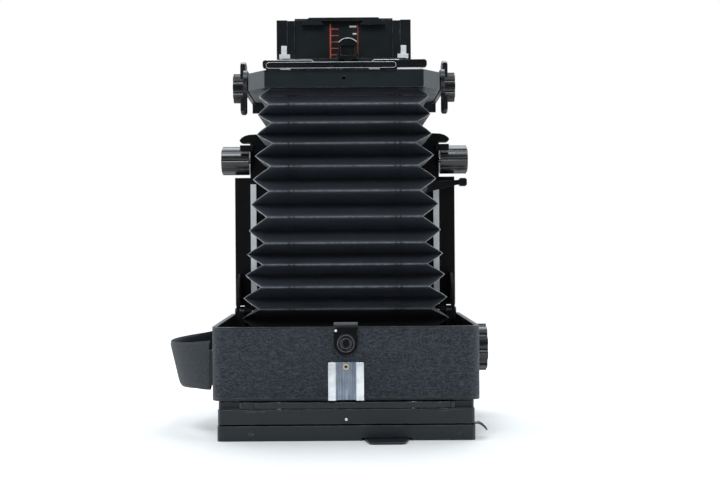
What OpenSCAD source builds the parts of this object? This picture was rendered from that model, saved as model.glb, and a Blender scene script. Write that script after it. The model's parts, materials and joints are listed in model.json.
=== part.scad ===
// Folding view camera with an all-metal box body, drop bed, rack-and-pinion focusing rail,
// U-shaped front standard and a revolving spring back.
// Z is the optical axis (lens end up), -Y is the top of the camera in use, the bed is at +Y.
// The origin is the centre of the face that the camera stands on, behind the focusing screen.
// Every length is in millimetres.

/* [Body] */
// Width of the box body
body_w = 161; // [156:0.5:164]
// Top wall of the camera in use (nearest -Y)
body_top_y = -72; // [-74:0.5:-71]
// Bottom wall of the camera in use (furthest +Y)
body_bottom_y = 78; // [77:0.5:80]
// Rear face of the body
body_rear_z = 23.4; // [23.4:0.1:24]
// Front rim of the body
body_rim_z = 67.5; // [66:0.5:68]
// Radius of the four long edges of the body
corner_r = 8; // [4:0.5:10]
// Thickness of the cast wall with its leather
wall = 2.8; // [2.4:0.1:3.2]
// Thickness of the leather covering
leather_t = 0.7; // [0.5:0.1:0.9]

/* [Back] */
// Half width of the revolving back plate
back_half = 76.5; // [74:0.5:78]
// Half width of the focusing screen frame
screen_half = 76.8; // [74:0.5:78]
// Radius of the collar that the back turns on
collar_r = 66; // [64:0.5:67]
// Image window width
gate_w = 122; // [118:1:124]
// Image window height
gate_h = 97; // [92:1:100]

/* [Bellows] */
// Height of the rear end of the bellows
bellows_rear_z = 30.2; // [30.2:0.1:32]
// Half size over the folds at the rear
bellows_half = 64; // [60:0.5:65]
// How much the half size shrinks for each millimetre forwards
bellows_taper = 0.08; // [0.06:0.01:0.09]
// Depth of a fold
fold_depth = 11.5; // [8:0.5:12]
// Number of folds
folds = 14; // [12:1:16]

/* [Bed and rail] */
// Thickness of the bed box
bed_t = 12; // [11:0.5:12]
// Half width of the bed
bed_half = 77.3; // [76:0.1:77.3]
// Half width of the focusing rail
rail_half = 47; // [45:0.1:47]
// Front end of the focusing rail
rail_front_z = 273.6; // [268:0.1:276]
// Gear module of the rack and pinion
gear_module = 0.7; // [0.6:0.1:0.7]
// Teeth on the pinion
pinion_teeth = 14; // [12:1:14]
// Radius of the focusing knobs
focus_knob_r = 10; // [9:0.1:10]

/* [Front standard] */
// Height of the middle of the front standard, where it tilts and swings
lens_z = 218.6; // [216:0.1:220]
// Half width of the lens frame
lens_half = 60; // [58:0.5:60]
// Side of the square lens board seat
board = 80.4; // [80.2:0.1:80.6]
// Radius of the tilt clamp discs
clamp_r = 17.2; // [15:0.1:18]
// Radius of the tilt lock knobs
tilt_knob_r = 9.6; // [8:0.1:10]

/* [Hidden] */
$fn = 48;
small_fn = 24;
eps = 0.01;
run_fit = 0.05; // radial clearance of a pin or shaft that turns

// Body
shell_in = body_w/2 - wall;
shell_out = body_w/2 - leather_t;
bottom_plate_y = body_bottom_y - wall;
floor_z = body_rear_z + 2.6;
strip_z = body_rear_z + 1.8;
rim_band = 1.2;
latch_half = 7.2;
button_z = 57.6;
button_r = 4.35;
shoe_half = 10.6;
shoe_z = [23.9, 46.4];
side_knob_z = 49;
side_knob_r = 15.2;
spindle_r = 3;
socket_r = 3.175;
socket_z = 46;
lug_x = -body_w/2;
strap_peak_x = -111;
strap_r = 67.3;
strap_z = [25.5, 57];

// Back
plate_z = [10, 18.7];
screen_z = [0, 9];
flange_z = [18.7, 23.0];
flange_r = 70.5;
slider_z = [19.1, 22.7];
slider_y = 73.5;
slider_half_w = 2.1;
slider_ends = [-64, 65];
hood_axis = [57.2, 2.0];
guide_pin_at = [70.5, 58];

// Bed
hinge_y = 66;
hinge_z = 69;
floor_t = 3;
bed_back_y = hinge_y + bed_t;
cover_t = 1.5;
bed_low_z = 70;
notch_z = [163.6, 187.2];
notch_half = 66.5;
stay_r = 26;
stay_x = [72.9, 74.5];
stud_angle = 215;

// Rack and pinion
rail_y = 60;
rail_back_y = 65.7;
rail_rear_z = 150;
track_in = 34.3;
pitch_r = gear_module*pinion_teeth/2;
rack_pitch = PI*gear_module;
pitch_y = 65;
shaft_y = pitch_y + pitch_r;
shaft_z = 175.7;
shaft_r = 2;
gear_x = [24, 30];
rack_teeth = 42;

// Front standard
base_z = [205, 246];
swing_pin_r = 4;
arm_x = [61, 63.5];
arm_z = [213.4, 227];
trunnion_r = 1.7;
hub_r = 2.95;
rise_slot = 22;

// ---------- helpers ----------

// A box between two X, two Y and two Z values
module span(x, y, z) {
    translate([x[0], y[0], z[0]]) cube([x[1] - x[0], y[1] - y[0], z[1] - z[0]]);
}

// The same solid on the left and on the right
module both_sides() {
    children();
    mirror([1, 0, 0]) children();
}

module cyl_x(r, x, y, z) {
    translate([x[0], y, z]) rotate([0, 90, 0]) cylinder(r = r, h = x[1] - x[0]);
}

module cyl_y(r, y, x, z) {
    translate([x, y[1], z]) rotate([90, 0, 0]) cylinder(r = r, h = y[1] - y[0]);
}

module cyl_z(r, z, x, y) {
    translate([x, y, z[0]]) cylinder(r = r, h = z[1] - z[0]);
}

// Extrudes an outline drawn in (x, z) between two Y values
module along_y(y) {
    translate([0, y[1], 0]) rotate([90, 0, 0]) linear_extrude(y[1] - y[0]) children();
}

// Extrudes an outline drawn in (y, z) between two X values
module along_x(x) {
    translate([x[0], 0, 0]) rotate([90, 0, 90]) linear_extrude(x[1] - x[0]) children();
}

// Rectangle with round corners between two pairs of values
module round_rect(x, y, r) {
    translate([x[0] + r, y[0]]) square([x[1] - x[0] - 2*r, y[1] - y[0]]);
    translate([x[0], y[0] + r]) square([x[1] - x[0], y[1] - y[0] - 2*r]);
    for (cx = [x[0] + r, x[1] - r], cy = [y[0] + r, y[1] - r])
        translate([cx, cy]) circle(r = r);
}

// Slot with round ends along the first axis
module slot_2d(x, y, r) {
    translate([x[0], y - r]) square([x[1] - x[0], 2*r]);
    for (cx = x) translate([cx, y]) circle(r = r, $fn = small_fn);
}

module round_box(half_x, y, z, r) {
    translate([0, 0, z[0]]) linear_extrude(z[1] - z[0]) round_rect([-half_x, half_x], y, r);
}

// Grip wheel on the X axis with scallops cut around its rim
module scalloped_wheel(r, x, y, z, lobes, cut_r, cut_out) {
    difference() {
        cyl_x(r, x, y, z);
        for (k = [0:lobes - 1])
            rotate_about_x(y, z, k*360/lobes)
                cyl_x(cut_r, [x[0] - 1, x[1] + 1], y + r + cut_out, z, $fn = small_fn);
    }
}

module rotate_about_x(y, z, a) {
    translate([0, y, z]) rotate([a, 0, 0]) translate([0, -y, -z]) children();
}

function polar(r, a) = [r*cos(a), r*sin(a)];

// Wedge outline from one angle to another, for cutting arcs
function wedge(r, a0, a1) = concat([[0, 0]], [for (k = [0:4]) polar(r, a0 + (a1 - a0)*k/4)]);

module arc_2d(r_in, r_out, a0, a1) {
    intersection() {
        difference() {
            circle(r = r_out);
            circle(r = r_in);
        }
        polygon(wedge(2*r_out, a0, a1));
    }
}

// ---------- camera body ----------

// Box of the body. Its bottom plate, which holds the tripod bush, is screwed on, so it is a
// second solid behind a hairline joint
module body_shell() color([0.10, 0.10, 0.11]) difference() {
    union() {
        round_box(shell_out, [body_top_y + leather_t, body_bottom_y - leather_t],
            [body_rear_z, body_rim_z], corner_r - leather_t);
        round_box(body_w/2, [body_top_y, body_bottom_y],
            [body_rim_z - rim_band, body_rim_z], corner_r);
        round_box(body_w/2, [body_top_y, body_bottom_y], [body_rear_z, strip_z], corner_r);
    }
    round_box(shell_in, [body_top_y + wall, body_bottom_y - wall],
        [floor_z, body_rim_z + 1], corner_r - wall);
    cyl_z(collar_r + run_fit, [body_rear_z - 1, floor_z + 1], 0, 0, $fn = 96);
    cyl_y(button_r + run_fit, [body_top_y - 1, body_top_y + wall + 1], 0, button_z);
    cyl_x(5 + run_fit, [shell_in - 1, body_w/2 + 1], 0, side_knob_z);
    cyl_y(6 + run_fit, [body_bottom_y - wall - 1, body_bottom_y + 1], 0, socket_z);
    cyl_y(1, [body_top_y - 1, body_top_y + wall + 1], 0, shoe_z[1] - 2.7, $fn = small_fn);
    latch_seat(0.4);
    span([-shoe_half, shoe_half], [body_top_y - 1, body_top_y + leather_t], [shoe_z[0], strip_z + 1]);
    span([-body_w, body_w], [bottom_plate_y - 0.02, bottom_plate_y], [body_rear_z - 1, body_rim_z + 1]);
}

// Room for the latch plate, which is let into the top wall
module latch_seat(depth) {
    along_y([body_top_y - 1, body_top_y + depth]) latch_outline();
}

module latch_outline() {
    translate([-latch_half, button_z]) square([2*latch_half, body_rim_z - button_z + 1]);
    translate([0, button_z]) circle(r = latch_half);
}

module leather_covering() color([0.13, 0.14, 0.16]) difference() {
    round_box(body_w/2, [body_top_y, body_bottom_y], [strip_z, body_rim_z - rim_band], corner_r);
    round_box(shell_out, [body_top_y + leather_t, body_bottom_y - leather_t],
        [strip_z - 1, body_rim_z], corner_r - leather_t);
    latch_seat(leather_t + eps);
    span([-shoe_half, shoe_half], [body_top_y - 1, body_top_y + leather_t + eps],
        [strip_z - 1, shoe_z[1]]);
    cyl_x(9 + run_fit, [shell_out - 1, body_w/2 + 1], 0, side_knob_z);
    cyl_y(9 + run_fit, [body_bottom_y - leather_t - eps, body_bottom_y + 1], 0, socket_z);
}

module latch_plate() color([0.08, 0.08, 0.09]) difference() {
    union() {
        along_y([body_top_y - 0.9, body_top_y + 0.4]) intersection() {
            latch_outline();
            translate([-20, 0]) square([40, body_rim_z]);
        }
        cyl_y(5.4, [body_top_y - 1.9, body_top_y], 0, button_z);
    }
    cyl_y(button_r + run_fit, [body_top_y - 3, body_top_y + 2], 0, button_z);
}

module index_dots() color([0.92, 0.92, 0.9])
    cyl_y(0.8, [body_top_y - 1.1, body_top_y - 0.9], -6.0, 65.2, $fn = small_fn);

module accessory_shoe() color([0.75, 0.77, 0.8]) {
    foot_y = body_top_y - 0.5;
    difference() {
        span([-shoe_half, shoe_half], [foot_y - 1.1, body_top_y + leather_t], shoe_z);
        cyl_y(1, [foot_y - 2, body_top_y + 2], 0, shoe_z[1] - 2.7, $fn = small_fn);
    }
    both_sides() {
        span([9.4, shoe_half], [foot_y - 4.4, foot_y - 1.1], shoe_z);
        span([5.9, 9.4], [foot_y - 4.4, foot_y - 3.2], shoe_z);
    }
}

module shoe_screw() color([0.55, 0.5, 0.4]) difference() {
    union() {
        cyl_y(1.8, [body_top_y - 2.3, body_top_y - 1.6], 0, shoe_z[1] - 2.7, $fn = small_fn);
        cyl_y(1, [body_top_y - 1.6, body_top_y + 2], 0, shoe_z[1] - 2.7, $fn = small_fn);
    }
    span([-2, 2], [body_top_y - 3, body_top_y - 2.0], [shoe_z[1] - 2.95, shoe_z[1] - 2.45]);
}

module release_button() color([0.05, 0.05, 0.06]) difference() {
    union() {
        cyl_y(button_r, [body_top_y - 2.6, body_top_y + 3.4], 0, button_z);
        cyl_y(button_r - 0.7, [body_top_y - 3.2, body_top_y - 2.6], 0, button_z);
    }
    cyl_y(2.2, [body_top_y - 3.3, body_top_y - 2.7], 0, button_z);
}

// Bright catch plate behind the button; its hooked end stands above the rim
module latch_tongue() color([0.78, 0.79, 0.8]) {
    inner_y = body_top_y + wall;
    span([-latch_half, latch_half], [inner_y + 0.6, inner_y + 1.8], [50, 69.9]);
    span([-latch_half, latch_half], [inner_y + 1.8, inner_y + 3.4], [68.7, 69.9]);
}

// Bowed leaf that pushes the catch back out
module catch_spring() color([0.6, 0.6, 0.62]) {
    spring_y = body_top_y + wall + 4.1;
    span([-3, 3], [spring_y, spring_y + 0.4], [36, 60]);
    span([-3, 3], [body_top_y + wall, spring_y], [36, 38]);
    span([-3, 3], [spring_y - 2.3, spring_y], [56, 60]);
}

module strap_lugs() color([0.3, 0.3, 0.32])
    for (side = [-1, 1]) difference() {
        span([lug_x - 2.5, lug_x], [side*57 - 6, side*57 + 6], [32, 53]);
        span([lug_x - 3, lug_x - 1.2], [side*57 - 2, side*57 + 2], [34, 51]);
    }

// Leather hand strap bowed out from the side of the body
module hand_strap() color([0.12, 0.12, 0.13]) {
    centre_x = strap_peak_x + strap_r;
    translate([0, 0, strap_z[0]]) linear_extrude(strap_z[1] - strap_z[0]) intersection() {
        translate([centre_x, 0]) difference() {
            circle(r = strap_r, $fn = 96);
            circle(r = strap_r - 2.2, $fn = 96);
        }
        translate([strap_peak_x - 1, -60]) square([lug_x - 2.5 - strap_peak_x + 1, 120]);
    }
}

module side_knob_bush() color([0.15, 0.15, 0.16]) difference() {
    union() {
        cyl_x(5, [shell_in - 1.2, body_w/2], 0, side_knob_z);
        cyl_x(9, [shell_out, body_w/2 + 3], 0, side_knob_z);
    }
    cyl_x(spindle_r + run_fit, [shell_in - 3, body_w/2 + 4], 0, side_knob_z);
}

module side_knob() color([0.06, 0.06, 0.07]) {
    knob_x = [body_w/2 + 3.1, body_w/2 + 10.9];
    difference() {
        scalloped_wheel(side_knob_r, knob_x, 0, side_knob_z, 10, 3.2, 1.4);
        cyl_x(8.5, [knob_x[1] - 1.2, knob_x[1] + 1], 0, side_knob_z);
    }
    cyl_x(spindle_r, [shell_in - 3, knob_x[0] + 1], 0, side_knob_z);
}

module tripod_bush() color([0.7, 0.7, 0.7]) difference() {
    union() {
        cyl_y(9, [body_bottom_y - leather_t, body_bottom_y + 0.6], 0, socket_z);
        cyl_y(6, [body_bottom_y - 8.5, body_bottom_y - leather_t], 0, socket_z);
    }
    cyl_y(socket_r, [body_bottom_y - 7, body_bottom_y + 1], 0, socket_z);
}

// Body half of the bed hinge: on each side wall a knuckle with its pin, and the stud of the stay
module bed_hinge_pins() color([0.35, 0.35, 0.36]) both_sides() {
    cyl_x(1.5, [65.8, 71.2], hinge_y, hinge_z);
    cyl_x(3, [71.2, shell_in], hinge_y, hinge_z);
    span([71.2, shell_in], [hinge_y - 3, hinge_y + 3], [56, hinge_z]);
    cyl_x(1.5, [stay_x[0] - 0.4, shell_in], hinge_y + polar(stay_r, stud_angle)[0],
        hinge_z + polar(stay_r, stud_angle)[1]);
}

module bellows_rear_frame() color([0.08, 0.08, 0.08]) difference() {
    round_box(shell_in, [body_top_y + wall, body_bottom_y - wall],
        [bellows_rear_z - 1.6, bellows_rear_z], corner_r - wall);
    span([-52, 52], [-52, 47], [bellows_rear_z - 3, bellows_rear_z + 1]);
    span([shell_in - 3.5, shell_in + 1], [-6, 6], [bellows_rear_z - 3, bellows_rear_z + 1]);
}

// ---------- bellows ----------

bellows_front_z = lens_z - 5.4;
bed_side_limit = rail_y - 0.9;

// Height of a level, closer together at both ends than in the middle
function level_z(k) = bellows_front_z - (bellows_front_z - bellows_rear_z)*spread(k/(2*folds));
function spread(t) = t - 0.22*sin(360*t)/(2*PI) + 0.012*(1 - cos(360*t));
// Half size over the folds, and inside them
function fold_out(z) = z < 71 ? bellows_half : bellows_half - bellows_taper*(z - 71);
function fold_in(z) = fold_out(z) - min(fold_depth, 7 + max(0, 205 - z)*0.22);
// The four corners of a level; even levels ridge on the top and bottom faces, odd ones on the sides
function level_half(k) = let (z = level_z(k), out = fold_out(z), in = fold_in(z))
    k == 0 ? [46, 46] : k % 2 == 0 ? [in, out] : [out, in];
function level_ring(k, t) = let (h = level_half(k), z = level_z(k),
        bottom = min(h[1], k % 2 == 0 ? bed_side_limit : bed_side_limit - fold_depth))
    [[-h[0] + t, -h[1] + t, z], [h[0] - t, -h[1] + t, z], [h[0] - t, bottom - t, z],
        [-h[0] + t, bottom - t, z]];

module bellows() color([0.09, 0.10, 0.12]) {
    levels = 2*folds;
    n = 4*(levels + 1);
    skin = 0.8;
    outer = [for (k = [0:levels]) each level_ring(k, 0)];
    inner = [for (k = [0:levels]) each level_ring(k, skin)];
    outer_faces = [for (k = [0:levels - 1], j = [0:3])
        [4*k + j, 4*(k + 1) + j, 4*(k + 1) + (j + 1)%4, 4*k + (j + 1)%4]];
    inner_faces = [for (f = outer_faces) [f[3] + n, f[2] + n, f[1] + n, f[0] + n]];
    front_faces = [for (j = [0:3]) [j, (j + 1)%4, (j + 1)%4 + n, j + n]];
    rear_faces = [for (j = [0:3], r = 4*levels)
        [r + j + n, r + (j + 1)%4 + n, r + (j + 1)%4, r + j]];
    polyhedron(concat(outer, inner), concat(outer_faces, inner_faces, front_faces, rear_faces));
}

// ---------- revolving back ----------

module back_plate() color([0.09, 0.09, 0.10]) difference() {
    union() {
        round_box(back_half, [-back_half, back_half], plate_z, 2.5);
        round_box(back_half, [-71.2, 71.2], [plate_z[1] - 1, 22.8], 2);
    }
    cyl_z(flange_r + run_fit, [plate_z[1], 24], 0, 0, $fn = 96);
    span([-gate_w/2, gate_w/2], [-gate_h/2, gate_h/2], [plate_z[0] - 1, 24]);
    both_sides() span([48.5, 59.7], [-back_half - 1, -back_half + 1.1], [17.5, 19]);
    for (x = [-1, 1], y = [-1, 1])
        cyl_z(2, [plate_z[0] - 1, 16], x*guide_pin_at[0], y*guide_pin_at[1], $fn = small_fn);
    lever_bore(1.5 + run_fit);
    for (y = [-slider_y, slider_y], x = [-40, 40])
        cyl_z(1.5, [plate_z[1] - 3, plate_z[1] + 1], x, y, $fn = small_fn);
}

module lever_bore(r) {
    cyl_z(r, [9.05, 14.5], 68, -70, $fn = small_fn);
}

module revolving_ring() color([0.07, 0.07, 0.08]) difference() {
    union() {
        cyl_z(flange_r, flange_z, 0, 0, $fn = 96);
        cyl_z(collar_r, [flange_z[1], 27.6], 0, 0, $fn = 96);
    }
    cyl_z(63.5, [flange_z[0] - 1, 29], 0, 0, $fn = 96);
    difference() {
        cyl_z(collar_r + 1, [26.2, 27.1], 0, 0, $fn = 96);
        cyl_z(64.9, [26, 27.3], 0, 0, $fn = 96);
    }
}

// Snap ring in the groove of the collar, inside the body
module ring_retainer() color([0.5, 0.5, 0.52]) difference() {
    cyl_z(68, [26.25, 27.05], 0, 0, $fn = 96);
    cyl_z(64.9, [26, 27.5], 0, 0, $fn = 96);
    span([-4, 4], [60, 70], [26, 27.5]);
}

// Four pins that the screen frame rides on, and the studs of the two sliders
module back_guide_pins() color([0.6, 0.6, 0.62]) {
    for (x = [-1, 1], y = [-1, 1])
        cyl_z(2, [0.9, 16], x*guide_pin_at[0], y*guide_pin_at[1], $fn = small_fn);
    for (y = [-slider_y, slider_y], x = [-40, 40])
        cyl_z(1.5, [plate_z[1] - 3, slider_z[1] + 0.1], x, y, $fn = small_fn);
}

module back_index_dot() color([0.92, 0.92, 0.9])
    cyl_y(0.85, [-back_half - 0.2, -back_half], 0, 12.7, $fn = small_fn);

// Lock bar of the back, on two studs in short slots, with a finger notch near each end
module slider(y, out) {
    translate([0, 0, slider_z[0]]) linear_extrude(slider_z[1] - slider_z[0]) difference() {
        slot_2d([slider_ends[0] + slider_half_w, slider_ends[1] - slider_half_w], y,
            slider_half_w);
        for (x = [-40, 40]) slot_2d([x - 3, x + 3], y, 1.5 + run_fit);
        for (x = [-58.5, 58.5]) translate([x, y + out*slider_half_w])
            polygon([[-4.5, out], [4.5, out], [3, -out*0.9], [-3, -out*0.9]]);
    }
}

module back_slider_top() color([0.12, 0.12, 0.13]) slider(-slider_y, -1);

module back_slider_bottom() color([0.12, 0.12, 0.13]) slider(slider_y, 1);

module back_lever() color([0.06, 0.06, 0.07]) {
    span([65, 77], [-72, -68], [9.1, 9.9]);
    along_y([-73, -67]) polygon([[76, 9.1], [76, 9.9], [78.2, 9.9], [79.6, 10.2], [81.4, 9.3],
        [83.2, 7.5], [84.3, 5.6], [83.6, 5.2], [82.3, 6.7], [80.6, 8.2], [79, 9.1]]);
    lever_bore(1.5);
}

module ground_glass_frame() color([0.09, 0.09, 0.10]) difference() {
    round_box(screen_half, [-screen_half, screen_half], screen_z, 2.5);
    span([-gate_w/2, gate_w/2], [-gate_h/2, gate_h/2], [-1, 10]);
    span([-gate_w/2 - 2, gate_w/2 + 2], [-gate_h/2 - 2, gate_h/2 + 2], [6.6, 10]);
    span([-62.5, 62.5], [-53.5, 60.5], [-1, 1.7]);
    span([-62.5, 62.5], [53.5, 60.5], [-1, 4.2]);
    span([9, 39], [-78, -50], [-1, 1.7]);
    for (x = [-1, 1], y = [-1, 1])
        cyl_z(2 + run_fit, [-1, 10], x*guide_pin_at[0], y*guide_pin_at[1], $fn = small_fn);
    for (x = [-1, 1]) {
        span([x*69 - 3, x*69 + 3], [-44, 44], [-1, 1.2]);
    }
    cyl_x(0.8, [-66, 66], hood_axis[0], hood_axis[1], $fn = small_fn);
}

module ground_glass() color([0.75, 0.8, 0.78])
    span([-gate_w/2 - 1.9, gate_w/2 + 1.9], [-gate_h/2 - 1.9, gate_h/2 + 1.9], [6.6, 8.6]);

module back_springs() color([0.65, 0.66, 0.68]) both_sides() difference() {
    span([66.4, 71.6], [-43.5, 43.5], [0.5, 1.2]);
    for (y = [-38, 38]) cyl_z(1.2, [0, 2], 69, y, $fn = small_fn);
}

// Small screws in the edge of the screen frame
module back_screws() color([0.45, 0.45, 0.46]) for (x = [-56.5, 67]) difference() {
    cyl_y(1.6, [-screen_half - 0.35, -screen_half], x, 4.3, $fn = small_fn);
    span([x - 2, x + 2], [-screen_half - 1, -screen_half - 0.2], [4.1, 4.5]);
}

// Folded hood lid over the focusing screen, with its pull tab
module hood_cover() color([0.10, 0.10, 0.11]) {
    difference() {
        union() {
            span([-61.8, 61.8], [-52.8, hood_axis[0]], [0, 1.3]);
            cyl_x(1.6, [-61.8, 61.8], hood_axis[0], hood_axis[1]);
            span([-61.8, 61.8], [hood_axis[0] - 1.6, hood_axis[0] + 1.2], [0, 2.0]);
        }
        cyl_x(0.8 + run_fit, [-63, 63], hood_axis[0], hood_axis[1], $fn = small_fn);
    }
    linear_extrude(1.3) polygon([[11, -78.2], [11, -52.8], [37, -52.8], [37, -78.2],
        [34.5, -91], [32.5, -92.5], [15.5, -92.5], [13.5, -91]]);
}

module hood_hinge_pin() color([0.6, 0.6, 0.62])
    cyl_x(0.8, [-65.5, 65.5], hood_axis[0], hood_axis[1], $fn = small_fn);

// ---------- bed ----------

// Outline of the bed seen from the lens axis, drawn in by a margin
module bed_outline(m) {
    translate([-bed_half + m, bed_low_z + m])
        square([2*(bed_half - m), notch_z[0] - bed_low_z - 2*m]);
    translate([-notch_half + m, notch_z[0] - 2*m - 1])
        square([2*(notch_half - m), 194 - notch_z[0] + m + 1]);
    translate([-50 + m, 190]) square([2*(50 - m), 13 - m]);
}

// Hooked ears beside the front end of the bed
module bed_ears() for (side = [-1, 1])
    polygon([for (p = [[61, 188.2], [72.3, 188.2], [73.5, 189], [73.9, 190.2], [72.6, 191.8],
        [70.4, 193.1], [67.5, 194], [61, 194.3]]) [side*p[0], p[1]]]);

// Small guards that stand over the focusing knobs
module knob_guards() both_sides() {
    span([64.2, 72.9], [57, 59.4], [181.6, 186]);
    span([64.2, 66.4], [57, hinge_y + 1], [181.6, 186]);
}

module bed_plate() color([0.10, 0.10, 0.11]) difference() {
    union() {
        along_y([hinge_y, bed_back_y - cover_t]) {
            bed_outline(0);
            bed_ears();
        }
        knob_guards();
        both_sides() cyl_x(3, [66, 71], hinge_y, hinge_z);
        both_sides() span([66, 71], [hinge_y, hinge_y + 3], [hinge_z, bed_low_z + 1]);
    }
    along_y([hinge_y + floor_t, bed_back_y]) bed_outline(2.8);
    span([-80, 80], [hinge_y + 5, bed_back_y + 1], [bed_low_z - 1, bed_low_z + 3.5]);
    both_sides() span([71, 80], [hinge_y - 1, hinge_y + 3.3], [hinge_z - 1, bed_low_z + 3.5]);
    both_sides() span([gear_x[0] - 0.7, gear_x[1] + 0.7], [hinge_y - 1, hinge_y + floor_t + 1],
        [shaft_z - 6.5, shaft_z + 6.5]);
    both_sides() cyl_x(1.5 + run_fit, [60, 72], hinge_y, hinge_z);
    both_sides() cyl_x(3.5, [60, 70], shaft_y, shaft_z);
    cyl_x(shaft_r + 0.4, [-62, 62], shaft_y, shaft_z);
    cyl_y(2, [hinge_y - 1, hinge_y + floor_t + 1], 54, 155.6, $fn = small_fn);
}

// Outer panel of the bed, which carries the leather
module bed_cover() color([0.13, 0.14, 0.16]) difference() {
    along_y([bed_back_y - cover_t, bed_back_y]) bed_outline(0);
    span([-80, 80], [hinge_y + 5, bed_back_y + 1], [bed_low_z - 1, bed_low_z + 3.5]);
}

// Polished ways that the front standard is parked on
module bed_ways() color([0.8, 0.8, 0.8]) both_sides()
    span([62.3, 66.3], [hinge_y - 1.5, hinge_y], [74, 159]);

module rail_guides() color([0.12, 0.12, 0.13]) both_sides() {
    span([rail_half + 0.3, rail_half + 2.3], [62, hinge_y], [120, 190]);
    span([rail_half - 1.2, rail_half + 0.3], [63.2, 64.2], [120, 190]);
}

// Slotted stays that hold the bed at a right angle or dropped
module bed_stays() color([0.14, 0.14, 0.15]) both_sides() along_x(stay_x)
    translate([hinge_y, hinge_z]) difference() {
        union() {
            arc_2d(stay_r - 4, stay_r + 4, 120, 240);
            polygon([[0, 5], [0, 27], [-12, 27], polar(stay_r + 4, 122), polar(stay_r - 4, 126),
                [-8, 8]]);
        }
        arc_2d(stay_r - 1.6, stay_r + 1.6, stud_angle - 4.5, stud_angle + 19.5);
    }

module pinion_bushes() color([0.72, 0.58, 0.3]) both_sides() difference() {
    cyl_x(3.5, [63.2, 66.6], shaft_y, shaft_z);
    cyl_x(shaft_r + run_fit, [62, 68], shaft_y, shaft_z);
}

// ---------- focusing drive ----------

module focus_shaft() color([0.7, 0.7, 0.72]) cyl_x(shaft_r, [-85, 85], shaft_y, shaft_z);

// One pinion tooth spans four corners of the outline
function tooth(k) = let (a = 180 + k*360/pinion_teeth, root = pitch_r - 0.75, tip = pitch_r + 0.55)
    [polar(root, a - 7.2), polar(tip, a - 2), polar(tip, a + 2), polar(root, a + 7.2)];

module focus_pinions() color([0.75, 0.6, 0.3]) both_sides() difference() {
    along_x(gear_x) translate([shaft_y, shaft_z])
        polygon([for (k = [0:pinion_teeth - 1]) each tooth(k)]);
    cyl_x(shaft_r, [gear_x[0] - 1, gear_x[1] + 1], shaft_y, shaft_z);
}

module focus_knobs() color([0.05, 0.05, 0.06]) both_sides() difference() {
    union() {
        scalloped_wheel(focus_knob_r, [67.2, 85.9], shaft_y, shaft_z, 10, 2.2, 1.6);
        cyl_x(focus_knob_r - 1.1, [67.2, 86.5], shaft_y, shaft_z);
    }
    cyl_x(shaft_r, [66, 85], shaft_y, shaft_z);
    cyl_x(6.5, [85.8, 88], shaft_y, shaft_z);
}

module lever_pivot_screw() color([0.6, 0.6, 0.62]) {
    cyl_y(2, [60.3, hinge_y + floor_t], 54, 155.6, $fn = small_fn);
    cyl_y(3.4, [59.4, 60.3], 54, 155.6);
}

// Lever beside the bellows that locks the focus
module focus_lock_lever() color([0.06, 0.06, 0.07]) difference() {
    union() {
        along_y([61, 63.2]) {
            translate([54, 155.6]) circle(r = 4.2);
            polygon([[54, 151.6], [80, 157.8], [80, 161], [54, 159.8]]);
        }
        cyl_y(4.2, [60.5, 63.2], 54, 155.6);
        along_y([58, 64.1]) polygon([[79.6, 157.6], [80.8, 156.5], [84.4, 156.5], [85.4, 157.6],
            [85.4, 161], [84.4, 162.2], [80.8, 162.2], [79.6, 161]]);
    }
    cyl_y(2 + run_fit, [58, 66], 54, 155.6, $fn = small_fn);
}

// ---------- focusing rail ----------

module rail_plate() color([0.14, 0.14, 0.15]) difference() {
    span([-track_in, track_in], [rail_y + 1, rail_back_y], [rail_rear_z, rail_front_z]);
    both_sides() span([gear_x[0] - 0.7, gear_x[1] + 0.7], [62.4, rail_back_y + 1], [156, 262]);
}

module rail_tracks() color([0.10, 0.10, 0.11]) both_sides() difference() {
    union() {
        span([track_in, 39.6], [rail_y, rail_back_y], [rail_rear_z, rail_front_z - 0.6]);
        span([39.6, rail_half], [rail_y + 0.9, rail_back_y], [rail_rear_z, rail_front_z]);
    }
    span([rail_half - 1.7, rail_half + 1], [63, 64.4], [rail_rear_z - 1, rail_front_z + 1]);
}

// Pair of racks let into the underside of the rail
module focus_racks() color([0.75, 0.6, 0.3]) both_sides() {
    half = rack_pitch/4 - 0.08;
    rack_start = shaft_z - 6.5*rack_pitch;
    rack_end = rack_start + rack_teeth*rack_pitch;
    span(gear_x, [62.4, pitch_y - 0.75], [rack_start - 1.5, rack_end]);
    along_x([gear_x[0] + 0.3, gear_x[1] - 0.3]) for (k = [0:rack_teeth - 1])
        translate([pitch_y, rack_start + k*rack_pitch])
            polygon([[-0.8, -half - 0.27], [0.55, -half + 0.2], [0.55, half - 0.2],
                [-0.8, half + 0.27]]);
}

// Raised stop at the front end of the rail, open in the middle for the scale
module rail_front_lip() color([0.12, 0.12, 0.13]) {
    along_y([rail_y - 2.4, rail_y + 1]) difference() {
        polygon([[-28.9, 269.7], [28.9, 269.7], [27, 272.6], [24, 274.8], [-24, 274.8],
            [-27, 272.6]]);
        polygon([[-12, 268], [10, 268], [14, 272.4], [-16, 272.4]]);
    }
    span([-track_in, track_in], [rail_y + 1, rail_back_y], [rail_front_z, rail_front_z + 1]);
}

module scale_red() color([0.75, 0.2, 0.12]) {
    y = [rail_y + 0.9, rail_y + 1];
    span([-9.8, -8.8], y, [207, 271]);
    for (k = [0:4]) span([-8.8, -3.6], y, [248.9 + 4.5*k, 249.5 + 4.5*k]);
    span([9.7, 10.1], y, [207, 271]);
}

module scale_white() color([0.9, 0.9, 0.88]) {
    y = [rail_y + 0.9, rail_y + 1];
    span([4, 9], y, [268.3, 269.5]);
    span([6.3, 9], y, [263.3, 264.3]);
}

// ---------- front standard ----------

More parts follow.
